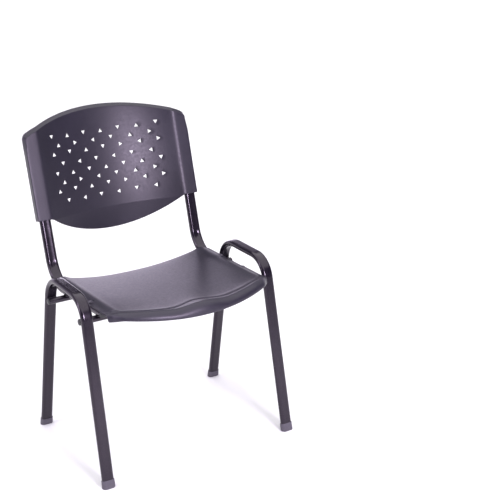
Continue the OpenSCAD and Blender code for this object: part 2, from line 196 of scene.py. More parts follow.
def oval(w, t, arc_steps=14, flat_steps=3):
    """Points round a flat oval that is wide along X, as (across, through) pairs."""
    half = (w - t) / 2
    points = []
    for side in (1, -1):
        for i in range(arc_steps + 1):
            a = math.radians(-90 + 180 * i / arc_steps)
            points.append((side * (half + t / 2 * math.cos(a)), side * t / 2 * math.sin(a)))
        for i in range(1, flat_steps):
            points.append((side * (half - 2 * half * i / flat_steps), side * t / 2))
    return points


def circle(d, steps=40):
    """Points round a circle of diameter d."""
    return [(d / 2 * math.cos(2 * math.pi * i / steps), d / 2 * math.sin(2 * math.pi * i / steps))
            for i in range(steps)]


# Spacing of a tube's sections, in millimetres along a run and in degrees round a turn.
RUN_PITCH, TURN_PITCH = 40, 3


def walk(y, z, heading, steps):
    """Stations (y, z, heading) along runs and turns in the YZ plane.

    The heading is the tilt of the direction of travel from +Z towards -Y, in degrees.
    """
    stations = [(y, z, heading)]
    for step in steps:
        if step[0] == "run":
            pieces = max(1, round(step[1] / RUN_PITCH))
            for i in range(1, pieces + 1):
                d = step[1] * i / pieces
                stations.append((y - d * sin(heading), z + d * cos(heading), heading))
        else:
            radius, angle = step[1:]
            centre = (y - radius * cos(heading), z - radius * sin(heading))
            pieces = math.ceil(angle / TURN_PITCH)
            for i in range(1, pieces + 1):
                h = heading + angle * i / pieces
                stations.append((centre[0] + radius * cos(h), centre[1] + radius * sin(h), h))
        y, z, heading = stations[-1]
    return stations


def section_at(station, section):
    """A section's points placed square to the path at a station."""
    y, z, heading = station
    return [(a, y + b * cos(heading), z + b * sin(heading)) for a, b in section]


def dented(section, share):
    """A section whose flat on the inner side of the bend is pressed in, by a share of the dent."""
    depth, width = 2.2, 6.0
    return [(a, b + share * depth * math.exp(-(a / width) ** 2) if b < 0 else b)
            for a, b in section]


def flat_tube(stations, dent_at=None):
    """A flat oval tube, open at both ends, and dented where its heading is dent_at.

    It has enough points across its flats to take the dent.
    """
    steps, dent_reach = 14, 9.0
    section = oval(TUBE_W, TUBE_T, steps, steps)
    bore = oval(TUBE_W - 2 * TUBE_WALL, TUBE_T - 2 * TUBE_WALL, steps, steps)
    outside = []
    for station in stations:
        share = 0.0 if dent_at is None else math.exp(-((station[2] - dent_at) / dent_reach) ** 2)
        outside.append(section_at(station, dented(section, share)))
    inside = [section_at(station, bore) for station in reversed(stations)]
    return loft(outside + inside, closed=True)


def leg_loop():
    """Rear leg, side rail and front leg, bent from one tube."""
    front_turn, rear_turn = 90 - FRONT_LEAN, 90 - REAR_LEAN
    front_tangent = FRONT_BEND_R * tan(front_turn / 2)
    rear_tangent = REAR_BEND_R * tan(rear_turn / 2)
    start_y = REAR_CORNER_Y + LOOP_Z * tan(REAR_LEAN) - FOOT_SOLE * sin(REAR_LEAN)
    stations = walk(start_y, FOOT_SOLE * cos(REAR_LEAN), REAR_LEAN, [
        ("run", LOOP_Z / cos(REAR_LEAN) - rear_tangent - FOOT_SOLE),
        ("turn", REAR_BEND_R, rear_turn),
        ("run", REAR_CORNER_Y - FRONT_CORNER_Y - front_tangent - rear_tangent),
        ("turn", FRONT_BEND_R, front_turn),
        ("run", LOOP_Z / cos(FRONT_LEAN) - front_tangent - FOOT_SOLE),
    ])
    return moved(flat_tube(stations), LOOP_FRAME)


def back_upright():
    """Rail under the seat and upright behind it, bent from one tube."""
    lean, slope = tan(RECLINE), tan(RAIL_SLOPE)
    corner_z = (RAIL_REF_Z + (RAIL_REF_Y - UPRIGHT_Y + UPRIGHT_Z * lean) * slope) / (1 + lean * slope)
    corner_y = UPRIGHT_Y + (corner_z - UPRIGHT_Z) * lean
    turn = 90 - RECLINE + RAIL_SLOPE
    tangent = UPRIGHT_BEND_R * tan(turn / 2)
    stations = walk(RAIL_FRONT_Y, rail_z(RAIL_FRONT_Y), -90 - RAIL_SLOPE, [
        ("run", (corner_y - RAIL_FRONT_Y) / cos(RAIL_SLOPE) - tangent),
        ("turn", UPRIGHT_BEND_R, turn),
        ("run", UPRIGHT_LEN - (corner_z - UPRIGHT_Z) / cos(RECLINE) - tangent),
    ])
    dent_before_end = 12
    tube = flat_tube(stations, dent_at=-RECLINE - dent_before_end)
    return moved(tube, Matrix.Translation((UPRIGHT_X, 0, 0)))


def along_x(profile, section_points, y, z):
    """Rings along X round the line at y and z: profile holds (x, share of the section's size)."""
    return [[(x, y + a * share, z + b * share) for a, b in section_points]
            for x, share in profile]


def cross_tube(y, z):
    """A round tube with its wall, open at both ends."""
    stops = [CROSS_LEN * share for share in (-0.5, -0.25, 0, 0.25, 0.5)]
    bore = (CROSS_D - 2 * TUBE_WALL) / CROSS_D
    outside = along_x([(x, 1.0) for x in stops], circle(CROSS_D), y, z)
    inside = along_x([(x, bore) for x in reversed(stops)], circle(CROSS_D), y, z)
    return loft(outside + inside, closed=True)


def tube_cap(y, z):
    """A push-in cap at a cross tube's right end, with a rim, a low dome and a spigot."""
    dome, steps, spigot = 3.0, 8, 14.0
    bore = (CROSS_D - 2 * TUBE_WALL - 2 * GAP) / CROSS_D
    end = CROSS_LEN / 2
    profile = [(end - spigot, bore * 0.9), (end - spigot + 1, bore), (end, bore), (end + GAP, 0.99)]
    profile += [(end + 0.4 + (dome - 0.4) * rise, max(0.02, share) ** 0.7)
                for rise, share in quarter(steps)]
    return loft(along_x(profile, circle(CROSS_D), y, z))


def weld_bead(length):
    """A rippled bead in the nip between a cross tube and a flat tube on its +Z side."""
    nip_y, nip_z, radius, ripple = 5.0, 5.9, 2.5, 2.4
    steps = round(length / 0.6)
    rings = []
    for i in range(steps + 1):
        x = length * (i / steps - 0.5)
        taper = math.sqrt(max(0.02, 1 - (2 * x / length) ** 8))
        r = radius * taper * (0.93 + 0.11 * abs(math.sin(math.pi * x / ripple)))
        rings.append([(x, nip_y + a * r, nip_z + b * r) for a, b in circle(2, 16)])
    return loft(rings)


def cross_welds(y, z, leg_tilt):
    """The beads that join one cross tube to both legs and both rails."""
    leg_x = LOOP_X + (LOOP_Z - z) * tan(LOOP_SPLAY)
    length = TUBE_W - TUBE_T + 6
    parts = []
    for x, tilt in ((leg_x, leg_tilt), (UPRIGHT_X, -RAIL_SLOPE)):
        for side in (1, -1):
            flip = Matrix.Scale(side, 4, (0, 1, 0))
            bead = moved(weld_bead(length), at(x, y, z, tilt) @ flip)
            parts += [bead, mirrored(bead)]
    return merged(parts)


# ---- Caps, plugs and feet ----

def foot_cap(foot_y, lean):
    """A sleeve-like cap whose sole is level and whose mouth is square to the leg."""
    outer, pocket = oval(FOOT_W, FOOT_T), oval(TUBE_W + 2 * GAP, TUBE_T + 2 * GAP)
    steps = 5
    chamfer, lip, mouth_inset = 1.6, 1.2, 0.25
    shape = [(chamfer * (1 - up), chamfer * (1 - out)) for out, up in quarter(steps)]
    shape += [(FOOT_H * 0.45, 0.0), (FOOT_H * 0.8, mouth_inset)]
    shape += [(FOOT_H - lip * (1 - up), mouth_inset + lip * (1 - out)) for up, out in quarter(steps)]

    def ring(height, inset):
        points = []
        for a, b in outer:
            across, through = a * (1 - 2 * inset / FOOT_W), b * (1 - 2 * inset / FOOT_T)
            level = LOOP_Z * (1 - 1 / cos(LOOP_SPLAY)) - across * tan(LOOP_SPLAY)
            sole = (level - through * sin(lean)) / cos(lean)
            points.append((across, through, sole + (FOOT_H - sole) * height / FOOT_H))
        return points

    rings = [ring(h, inset) for h, inset in shape]
    rings += [[(a, b, h) for a, b in pocket] for h in (FOOT_H, FOOT_SOLE)]
    return moved(loft(rings), LOOP_FRAME @ at(0, foot_y, 0, lean))


def tube_plug():
    """A flanged plug for a flat tube that reaches back along +Z."""
    bore = oval(TUBE_W - 2 * TUBE_WALL - 2 * GAP, TUBE_T - 2 * TUBE_WALL - 2 * GAP)
    steps, edge, spigot = 5, 1.4, 12.5
    rings = []
    for out, down in quarter(steps):
        inset = edge * (1 - out)
        rings.append([(x, y, -GAP - PLUG_FLANGE + edge * (1 - down))
                      for x, y in oval(TUBE_W - 2 * inset, TUBE_T - 2 * inset)])
    rings.append([(x, y, -GAP) for x, y in oval(TUBE_W, TUBE_T)])
    rings += [[(x, y, h) for x, y in bore] for h in (-GAP, spigot)]
    return loft(rings)


RAIL_START = at(UPRIGHT_X, RAIL_FRONT_Y, rail_z(RAIL_FRONT_Y), -90 - RAIL_SLOPE)
UPRIGHT_END = BACK_FRAME @ Matrix.Translation((UPRIGHT_X, 0, UPRIGHT_LEN)) @ Matrix.Scale(-1, 4, (0, 0, 1))


# ---- Seat ----

SEAT_HALF_W, SEAT_T, LIP_DEPTH = 222.0, 4.0, 21.0
SEAT_EDGE_R = SEAT_T / 2
# Across the seat, u runs from -1 to 1. A curve is given by its shares of u**2 and u**4.
# Front and rear edges: their place on the middle plane, and how far they curve inwards.
SEAT_FRONT_Y, FRONT_CURVE = -288.4, (56.4, 9.3)
SEAT_REAR_Y, REAR_CURVE = 116.0, (11.2, 19.9)
# Bottom edge of the lip: its height on the middle plane, and its rise towards the sides.
LIP_Z, LIP_CURVE = 404.7, (17.9, -5.5)
# Heights of the dish on the middle plane, and (y, z) near the ends of the side edges.
SEAT_LOW, SEAT_HIGH = 384.6, 430.0
EDGE_FRONT, EDGE_REAR = (-217.0, 427.0), (85.0, 419.0)
# Mesh density of the seat.
SEAT_COLUMNS, SEAT_LIP_ROWS, SEAT_ROWS = 150, 18, 130


def bell(v):
    """1 at 0, falling off smoothly on both sides."""
    return np.exp(-v * v)


def smooth(v):
    """0 below 0, 1 above 1, with a smooth step between."""
    v = np.clip(v, 0, 1)
    return v * v * (3 - 2 * v)


def even(u, curve):
    """A curve across the seat that is the same on both sides."""
    return curve[0] * u ** 2 + curve[1] * u ** 4


def seat_dish(k):
    """Height of the dish on the middle plane, from the ridge at 0 to the rear edge at 1."""
    steep_share, steep_reach, power = 0.21, 0.08, 0.6
    fall = (1 - steep_share) * np.maximum(0, 1 - k) ** power + steep_share * np.exp(-k / steep_reach)
    return SEAT_LOW + (SEAT_HIGH - SEAT_LOW) * fall


def seat_edge_z(y):
    """Height of the side edges, which fall in a straight line towards the rear."""
    share = (y - EDGE_FRONT[0]) / (EDGE_REAR[0] - EDGE_FRONT[0])
    return EDGE_FRONT[1] + (EDGE_REAR[1] - EDGE_FRONT[1]) * share


def ridge_waves(u, k):
    """The front ridge's hump and hollows, which fade behind it, and the groove along them."""
    side, fade = np.abs(u), 0.08
    wave = 4 * bell(u / 0.17) - 3 * bell((side - 0.33) / 0.14) + 3 * bell((side - 0.77) / 0.14)
    # The fine groove bends backwards round the hump, and a low swell runs behind it.
    groove_k = 0.024 + 0.075 * bell(u / 0.2)
    groove = 1.3 * bell((k - groove_k) / 0.011)
    swell = 0.7 * bell((k - groove_k - 0.028) / 0.016)
    return wave * np.exp(-k / fade) - groove + swell


def side_rim(u, k):
    """The side rim crests a little inside its edge and rolls down to it, less so at the lip."""
    side, behind_lip = np.abs(u), smooth(k / 0.06)
    crest = 2.6 * bell((side - 0.885) / 0.042)
    roll = 4.0 * smooth((side - 0.895) / 0.105)
    return crest * (0.4 + 0.6 * behind_lip) - roll * (0.6 + 0.4 * behind_lip)


def seat_surface(u, k):
    """Point of the seat's upper surface: u runs across, k runs from the ridge to the rear edge."""
    side = np.abs(u)
    ridge_y = SEAT_FRONT_Y + even(u, FRONT_CURVE) + LIP_DEPTH
    rear_y = SEAT_REAR_Y - SEAT_EDGE_R - even(u, REAR_CURVE)
    y = ridge_y + (rear_y - ridge_y) * k
    dish_end, dish_power = 0.92, 2.4
    share = np.minimum(1, side / dish_end) ** dish_power
    z = seat_dish(k) + (seat_edge_z(y) - seat_dish(k)) * share + ridge_waves(u, k) + side_rim(u, k)
    # Between the two slots the rim hangs lower and stands a little further out.
    ramp, drop, outset = 3.0, 2.4, 0.007
    tab = smooth((y - SEAT_SCREW_Y[0]) / ramp) * smooth((SEAT_SCREW_Y[1] - 4 - y) / ramp)
    edge = smooth((side - 0.93) / 0.03)
    x = (SEAT_HALF_W - SEAT_EDGE_R) * u * (1 - outset * (1 - tab) * edge)
    return x, y, z - drop * tab * edge


def seat_grid():
    """The upper surface as rows of points, from the lip's bottom edge to the rear edge."""
    u = np.sin(np.radians(90 * np.linspace(-1, 1, SEAT_COLUMNS + 1)))
    rows = []
    ridge = seat_surface(u, 0.0)
    # At the corners the lip's bottom edge drops, moves inwards and sweeps back.
    drop, inward, sweep = 10.0, 1.0, 13.0
    corner = smooth((np.abs(u) - 0.86) / 0.14)
    lip_y = SEAT_FRONT_Y + even(u, FRONT_CURVE) + sweep * corner
    lip_z = LIP_Z + even(u, LIP_CURVE) + SEAT_EDGE_R - drop * corner
    for rise, depth in quarter(SEAT_LIP_ROWS)[:-1]:
        rows.append((ridge[0] - inward * corner * np.sign(u) * (1 - rise),
                     lip_y + (ridge[1] - lip_y) * (1 - depth),
                     lip_z + (ridge[2] - lip_z) * rise))
    for r in range(SEAT_ROWS + 1):
        k = (1 - math.cos(math.pi * r / SEAT_ROWS)) / 2
        rows.append(seat_surface(u, k))
    return np.array([np.stack(row, axis=1) for row in rows])


def closed_sheet(top, thickness):
    """A solid from a grid of points, offset along its normals and with round edges."""
    rows, columns = top.shape[:2]
    normal = np.cross(np.gradient(top, axis=1), np.gradient(top, axis=0))
    normal /= np.linalg.norm(normal, axis=2, keepdims=True)
    normal *= np.sign(normal[rows // 2, columns // 2, 2])
    under = top - normal * thickness
    verts = [tuple(p) for p in np.concatenate([top.reshape(-1, 3), under.reshape(-1, 3)])]
    number = np.arange(rows * columns).reshape(rows, columns)
    corners = (number[:-1, :-1], number[:-1, 1:], number[1:, 1:], number[1:, :-1])
    quads = np.stack(corners, axis=-1).reshape(-1, 4)
    faces = [tuple(q) for q in np.concatenate([quads, quads[:, ::-1] + number.size]).tolist()]
    # The edge is half round: rings run from the upper border to the lower one.
    border = np.concatenate([number[0], number[1:, -1], number[-1, -2::-1], number[-2:0:-1, 0]])
    r, c = np.divmod(border, columns)
    step = top[r, c] - top[np.clip(r, 1, rows - 2), np.clip(c, 1, columns - 2)]
    step -= normal[r, c] * np.sum(step * normal[r, c], axis=1, keepdims=True)
    outward = step / np.linalg.norm(step, axis=1, keepdims=True) * thickness / 2
    middle, half = (top[r, c] + under[r, c]) / 2, (top[r, c] - under[r, c]) / 2
    edge_steps = 6
    ring = border.tolist()
    for i in range(1, edge_steps):
        a = math.pi * i / edge_steps
        following = list(range(len(verts), len(verts) + len(border)))
        verts += [tuple(p) for p in middle + half * math.cos(a) + outward * math.sin(a)]
        faces += bridged(ring, following)
        ring = following
    faces += bridged(ring, (border + number.size).tolist())
    return verts, faces


def seat_boss(y):
    """A round boss that flares into the underside of the side ledge, over the rail.

    Its profile holds (height above the rail, radius).
    """
    height = seat_edge_z(y) - SEAT_T / 2 - rail_z(y) - TUBE_T / 2
    profile = [(GAP, 6.4), (GAP + 0.6, 7.0), (height - 3.0, 7.0), (height - 1.5, 7.6),
               (height - 0.6, 8.8), (height, 9.5)]
    rings = [[(a * r, b * r, TUBE_T / 2 + h) for a, b in circle(2, 32)] for h, r in profile]
    return moved(loft(rings), at(UPRIGHT_X, y, rail_z(y), -RAIL_SLOPE))


def carve(piece, part, operation, sharp):
    """Join or cut a piece with a helper mesh, then remove the helper."""
    helper = new_object("helper", *part, sharp=180)
    change = piece.modifiers.new("carve", "BOOLEAN")
    change.operation = operation
    change.solver = "EXACT"
    change.object = helper
    dg = bpy.context.evaluated_depsgraph_get()
    mesh = bpy.data.meshes.new_from_object(piece.evaluated_get(dg))
    piece.modifiers.clear()
    old = piece.data
    mesh.name = old.name
    piece.data = mesh
    bpy.data.meshes.remove(old)
    bpy.data.objects.remove(helper)
    tidy_mesh(mesh, sharp)


def seat_slots():
    """Four narrow slots through the side rims, one above each screw."""
    length, width, x = 11, 2.6, UPRIGHT_X - 0.5
    parts = []
    for y in SEAT_SCREW_Y:
        rings = [[(x + a, y + b, seat_edge_z(y) + h) for a, b in oval(length, width, 6, 1)]
                 for h in (-6.5, 8.0)]
        slot = loft(rings)
        parts += [slot, mirrored(slot)]
    return merged(parts)


# ---- Back ----

# In the back's frame, s is the height above the datum and t the height above the crease.
BACK_HALF_W, BACK_T, BACK_HOLLOW = 230.0, 4.0, 42.0
BACK_TOP, CREASE_S = 436.7, 165.0
# Lip below the crease: its lowest point, the end of its bottom arc and its backward turn.
LIP_BOTTOM_S, LIP_END_S, LIP_TURN = 106.2, 175.0, 11.7
# Rim along the top: its depth, its thickness and the foot of its inner wall.
RIM_DEPTH, RIM_T, RIM_FOOT = 15.0, 3.6, 13.5
# Along the edge a band slopes back. Its inset is given at the top and at the corners, and its
# depth at the top and elsewhere. A small radius leads into it.
TOP_SLOPE, CORNER_SLOPE = 9.0, 4.0
TOP_BAND, LIP_BAND = 11.0, 2.4
EDGE_R = 2.2
# Sleeves: inner wall, half depth and bottom end. The hollow panel lies between them.
SLEEVE_X, SLEEVE_Y, SLEEVE_BOTTOM = 190.0, 10.0, CREASE_S - 2
PANEL_X = 192.0
# Arcs of the outline.
TOP_R, CORNER_R = 510.0, 20.0
TOP_CENTRE_S = BACK_TOP - TOP_R
CORNER_X = BACK_HALF_W - CORNER_R
CORNER_S = TOP_CENTRE_S + math.sqrt((TOP_R - CORNER_R) ** 2 - CORNER_X ** 2)
LIP_RISE = LIP_END_S - LIP_BOTTOM_S
LIP_ARC_R = (PANEL_X ** 2 + LIP_RISE ** 2) / (2 * LIP_RISE)
# Triangular holes: each letter is the way that a hole points.
HOLE_SIDE, HOLE_ROUND, HOLE_BREAK = 12.0, 0.8, 0.4
HOLE_ROWS = ("DUDUDUD", "URLDUR", "UDUDRLR", "DLDLDL") * 2
HOLE_PITCHES = (49.6, 52.4, 50.0, 50.3)
ROW_DROPS = (0.0, 22.0, 43.5, 71.0)
ROW_PERIOD, FIRST_ROW_S = 95.2, 367.0
HALF_TURN = tan(LIP_TURN / 2)
BACK_SHARP = 20.0


def hollow(s):
    """Depth of the panel's middle behind the uprights' plane, least at the middle height."""
    middle_s, reach, least, gain = 285, 125, BACK_HOLLOW - 1, 6
    return least + gain * ((s - middle_s) / reach) ** 2


def panel_y(x, s):
    """Front surface of the back: a cylinder between the sleeves, flat over them."""
    depth = hollow(s)
    r = (PANEL_X ** 2 + (depth + SLEEVE_Y) ** 2) / (2 * (depth + SLEEVE_Y))
    curved = depth - r + np.sqrt(np.maximum(r * r - x * x, 1.0)) + SLEEVE_Y
    softness = 1.6
    return softness * np.logaddexp(0, curved / softness) - SLEEVE_Y


def crease_shift(x):
    """How far the crease lies above its height on the middle plane."""
    return (panel_y(x, CREASE_S) - BACK_HOLLOW) * HALF_TURN


def front_point(x, t, depth=0.0):
    """Place in the back's frame of a point t above the crease, and depth behind the front."""
    x, t = np.asarray(x, float), np.asarray(t, float)
    upper_s = CREASE_S + crease_shift(x) + t
    upper_y = panel_y(x, upper_s)
    lower_s = CREASE_S - crease_shift(x) + t
    dy, ds = panel_y(x, CREASE_S) - BACK_HOLLOW, lower_s - CREASE_S
    lower_y = BACK_HOLLOW + dy * cos(LIP_TURN) - ds * sin(LIP_TURN)
    lower_s = CREASE_S + dy * sin(LIP_TURN) + ds * cos(LIP_TURN)
    # 0 on the lip and 1 above the crease, which is rounded, and over the sleeves.
    bend, lip_reach = 3.5, 186
    share = np.maximum(smooth((t + bend) / (2 * bend)), smooth((np.abs(x) - lip_reach) / 3))
    turn = np.radians(LIP_TURN) * (1 - share)
    y = lower_y + (upper_y - lower_y) * share + depth * np.cos(turn)
    s = lower_s + (upper_s - lower_s) * share + depth * np.sin(turn)
    return np.stack(np.broadcast_arrays(x, y, s), axis=-1)


def arc_points(cx, cs, r, start, stop, pitch):
    """Points on an arc from start up to, but not including, stop, in degrees."""
    count = max(2, math.ceil(abs(math.radians(stop - start)) * r / pitch))
    angles = np.radians(start + (stop - start) * np.arange(count) / count)
    return [(cx + r * math.cos(a), cs + r * math.sin(a)) for a in angles]


def line_points(a, b, pitch):
    """Points on a line from a up to, but not including, b."""
    count = max(1, math.ceil(math.dist(a, b) / pitch))
    return [(a[0] + (b[0] - a[0]) * i / count, a[1] + (b[1] - a[1]) * i / count)
            for i in range(count)]


def back_outline():
    """Half outline from the lip's lowest point round to the top, then mirrored.

    Each row is x, t, the width and depth of the sloping band along the edge, and the depth
    of the wall behind it.
    """
    rows = []
    lip_end_x, lip_points, corner = 186.5, 48, 3.0
    for x in np.linspace(0, lip_end_x, lip_points):
        s = LIP_BOTTOM_S + LIP_ARC_R - math.sqrt(LIP_ARC_R ** 2 - x * x)
        t = s - (CREASE_S - crease_shift(x))
        rows.append((x, float(t), 0.0, LIP_BAND, BACK_T))

    def above(x, s):
        return s - CREASE_S - float(crease_shift(x))

    bottom = above(SLEEVE_X + 1, SLEEVE_BOTTOM)
    rows.append((SLEEVE_X - 0.5, (rows[-1][1] + bottom) / 2, 0.0, LIP_BAND, BACK_T))
    rows.append((SLEEVE_X + 0.5, bottom, 0.0, LIP_BAND, 2 * SLEEVE_Y))
    inner_x = BACK_HALF_W - corner
    sleeve_end = (line_points((SLEEVE_X + 3, SLEEVE_BOTTOM), (inner_x, SLEEVE_BOTTOM), 4)
                  + arc_points(inner_x, SLEEVE_BOTTOM + corner, corner, -90, 0, 0.9))
    for x, s in sleeve_end:
        rows.append((x, above(x, s), 0.0, LIP_BAND, 2 * SLEEVE_Y))
    for x, s in line_points((BACK_HALF_W, SLEEVE_BOTTOM + corner), (BACK_HALF_W, CORNER_S), 5):
        band = LIP_BAND + (TOP_BAND - LIP_BAND) * float(smooth((s - SLEEVE_BOTTOM) / 60))
        slope = CORNER_SLOPE * float(smooth(1 - (CORNER_S - s) / 40))
        rows.append((x, above(x, s), slope, band, 2 * SLEEVE_Y))
    meet = math.degrees(math.atan2(CORNER_S - TOP_CENTRE_S, CORNER_X))
    for x, s in arc_points(CORNER_X, CORNER_S, CORNER_R, 0, meet, 1.6):
        share = float(smooth((s - CORNER_S) / (CORNER_R * sin(meet))))
        slope = CORNER_SLOPE + (TOP_SLOPE - CORNER_SLOPE) * share
        rows.append((x, above(x, s), slope, TOP_BAND, 2 * SLEEVE_Y))
    for x, s in arc_points(0, TOP_CENTRE_S, TOP_R, meet, 90, 4):
        share = float(smooth((abs(x) - SLEEVE_X) / 12))
        wall = RIM_DEPTH + (2 * SLEEVE_Y - RIM_DEPTH) * share
        rows.append((x, above(x, s), TOP_SLOPE, TOP_BAND, wall))
    top = (0.0, above(0.0, BACK_TOP), TOP_SLOPE, TOP_BAND, RIM_DEPTH)
    left = [(-row[0], *row[1:]) for row in reversed(rows[1:])]
    return np.array(rows + [top] + left)


def edge_profile(slope, band, radius, steps):
    """Steps (inset, depth) from the flat front round a small radius and down the band."""
    angle = np.arctan2(band, slope)
    tangent = radius * np.tan(angle / 2)
    rings = []
    for i in range(steps + 1):
        a = angle * i / steps
        rings.append((slope + tangent - radius * np.sin(a), radius * (1 - np.cos(a))))
    rings.append((slope * 0.5, (band + radius) * 0.5))
    rings.append((np.zeros_like(slope), band))
    return rings


def loop_normals(loop):
    """Outward unit normals of a counter-clockwise loop of points."""
    before, after = loop - np.roll(loop, 1, axis=0), np.roll(loop, -1, axis=0) - loop
    before /= np.linalg.norm(before, axis=1, keepdims=True)
    after /= np.linalg.norm(after, axis=1, keepdims=True)
    tangent = before + after
    tangent /= np.linalg.norm(tangent, axis=1, keepdims=True)
    return np.stack([tangent[:, 1], -tangent[:, 0]], axis=1)


def hole_loop(way, grow):
    """A triangle with round corners, counter-clockwise, centred on its box."""
    height = HOLE_SIDE * sin(60)
    corners = [(-HOLE_SIDE / 2, -height / 2), (HOLE_SIDE / 2, -height / 2), (0.0, height / 2)]
    centroid = np.mean(corners, axis=0)
    points = []
    for corner in corners:
        pull = np.array(corner) - centroid
        distance = np.linalg.norm(pull)
        centre = centroid + pull / distance * (distance - 2 * HOLE_ROUND)
        facing = math.degrees(math.atan2(pull[1], pull[0]))
        for j in range(5):
            a = math.radians(facing - 60 + 30 * j)
            points.append(centre + (HOLE_ROUND + grow) * np.array([math.cos(a), math.sin(a)]))
    angle = math.radians({"U": 0, "L": 90, "D": 180, "R": -90}[way])
    turn = np.array([[math.cos(angle), -math.sin(angle)], [math.sin(angle), math.cos(angle)]])
    return np.array(points) @ turn.T


def hole_places():
    """The way, x and t of every hole."""
    for row, ways in enumerate(HOLE_ROWS):
        s = FIRST_ROW_S - ROW_DROPS[row % 4] - ROW_PERIOD * (row // 4)
        for i, way in enumerate(ways):
            x = (i - (len(ways) - 1) / 2) * HOLE_PITCHES[row % 4]
            yield way, x, s - CREASE_S - float(crease_shift(x))


def inside(points, loop):
    """Which points lie inside a loop."""
    x, y = points[:, 0][:, None], points[:, 1][:, None]
    ax, ay = loop[:, 0], loop[:, 1]
    bx, by = np.roll(ax, -1), np.roll(ay, -1)
    crosses = (ay > y) != (by > y)
    slope = (bx - ax) / np.where(by == ay, 1e-12, by - ay)
    return (np.sum(crosses & (x < ax + (y - ay) * slope), axis=1) % 2) == 1


def steps_through(*spans):
    """Sorted values from several (start, stop, pitch) spans."""
    return np.unique(np.round(np.concatenate([np.arange(*span) for span in spans]), 2))


def fill_points(outline, lines):
    """A grid of points inside the outline, finer along the creases, clear of every line."""
    xs = steps_through((-228, 229, 6), (-199, -184, 1.5), (184.5, 199, 1.5))
    ts = steps_through((-70, 280, 6), (-5, 5.5, 1.25))
    line_gap, hole_gap, block = 1.6, HOLE_SIDE * 0.78, 512
    grid = np.array([(x, t) for t in ts for x in xs])
    grid = grid[inside(grid, outline)]
    barrier = np.concatenate([dense(outline, True)] + [dense(p, False) for p in lines])
    clear = np.ones(len(grid), bool)
    for start in range(0, len(grid), block):
        part = grid[start:start + block]
        nearest = np.linalg.norm(part[:, None] - barrier[None], axis=2).min(axis=1)
        clear[start:start + block] = nearest > line_gap
    grid = grid[clear]
    for _, x, t in hole_places():
        grid = grid[np.linalg.norm(grid - (x, t), axis=1) > hole_gap]
    return grid


def dense(line, closed):
    """Points every 2 mm or so along a line."""
    ends = np.roll(line, -1, axis=0) if closed else line[1:]
    starts = line if closed else line[:-1]
    parts = []
    for a, b in zip(starts, ends):
        count = max(1, math.ceil(np.linalg.norm(b - a) / 2))
        parts.append(a + (b - a) * np.linspace(0, 1, count + 1)[:, None])
    return np.concatenate(parts)


def triangulated(outline, lines, holes):
    """Triangles over the outline without its holes. Returns the points and the triangles;
    the outline's points come first, then each line's, then each hole's."""
    loops = [outline] + lines + holes
    points, edges = [], []
    for n, loop in enumerate(loops):
        base = len(points)
        points.extend(loop)
        closed = n == 0 or n > len(lines)
        count = len(loop) if closed else len(loop) - 1
        edges += [(base + i, base + (i + 1) % len(loop)) for i in range(count)]
    fixed = len(points)
    points.extend(fill_points(outline, lines))
    flat = [Vector((float(p[0]), float(p[1]))) for p in points]
    out, _, triangles, origin, _, _ = delaunay_2d_cdt(flat, edges, [], 0, 1e-5)
    found = {}
    for new, olds in enumerate(origin):
        for old in olds:
            found[old] = new
    out = np.array([tuple(p) for p in out])
    triangles = np.array(triangles)
    middle = out[triangles].mean(axis=1)
    keep = inside(middle, outline)
    for hole in holes:
        close = np.linalg.norm(middle - hole.mean(axis=0), axis=1) < HOLE_SIDE
        keep[close] &= ~inside(middle[close], hole)
    return out, triangles[keep], [found[i] for i in range(fixed)]


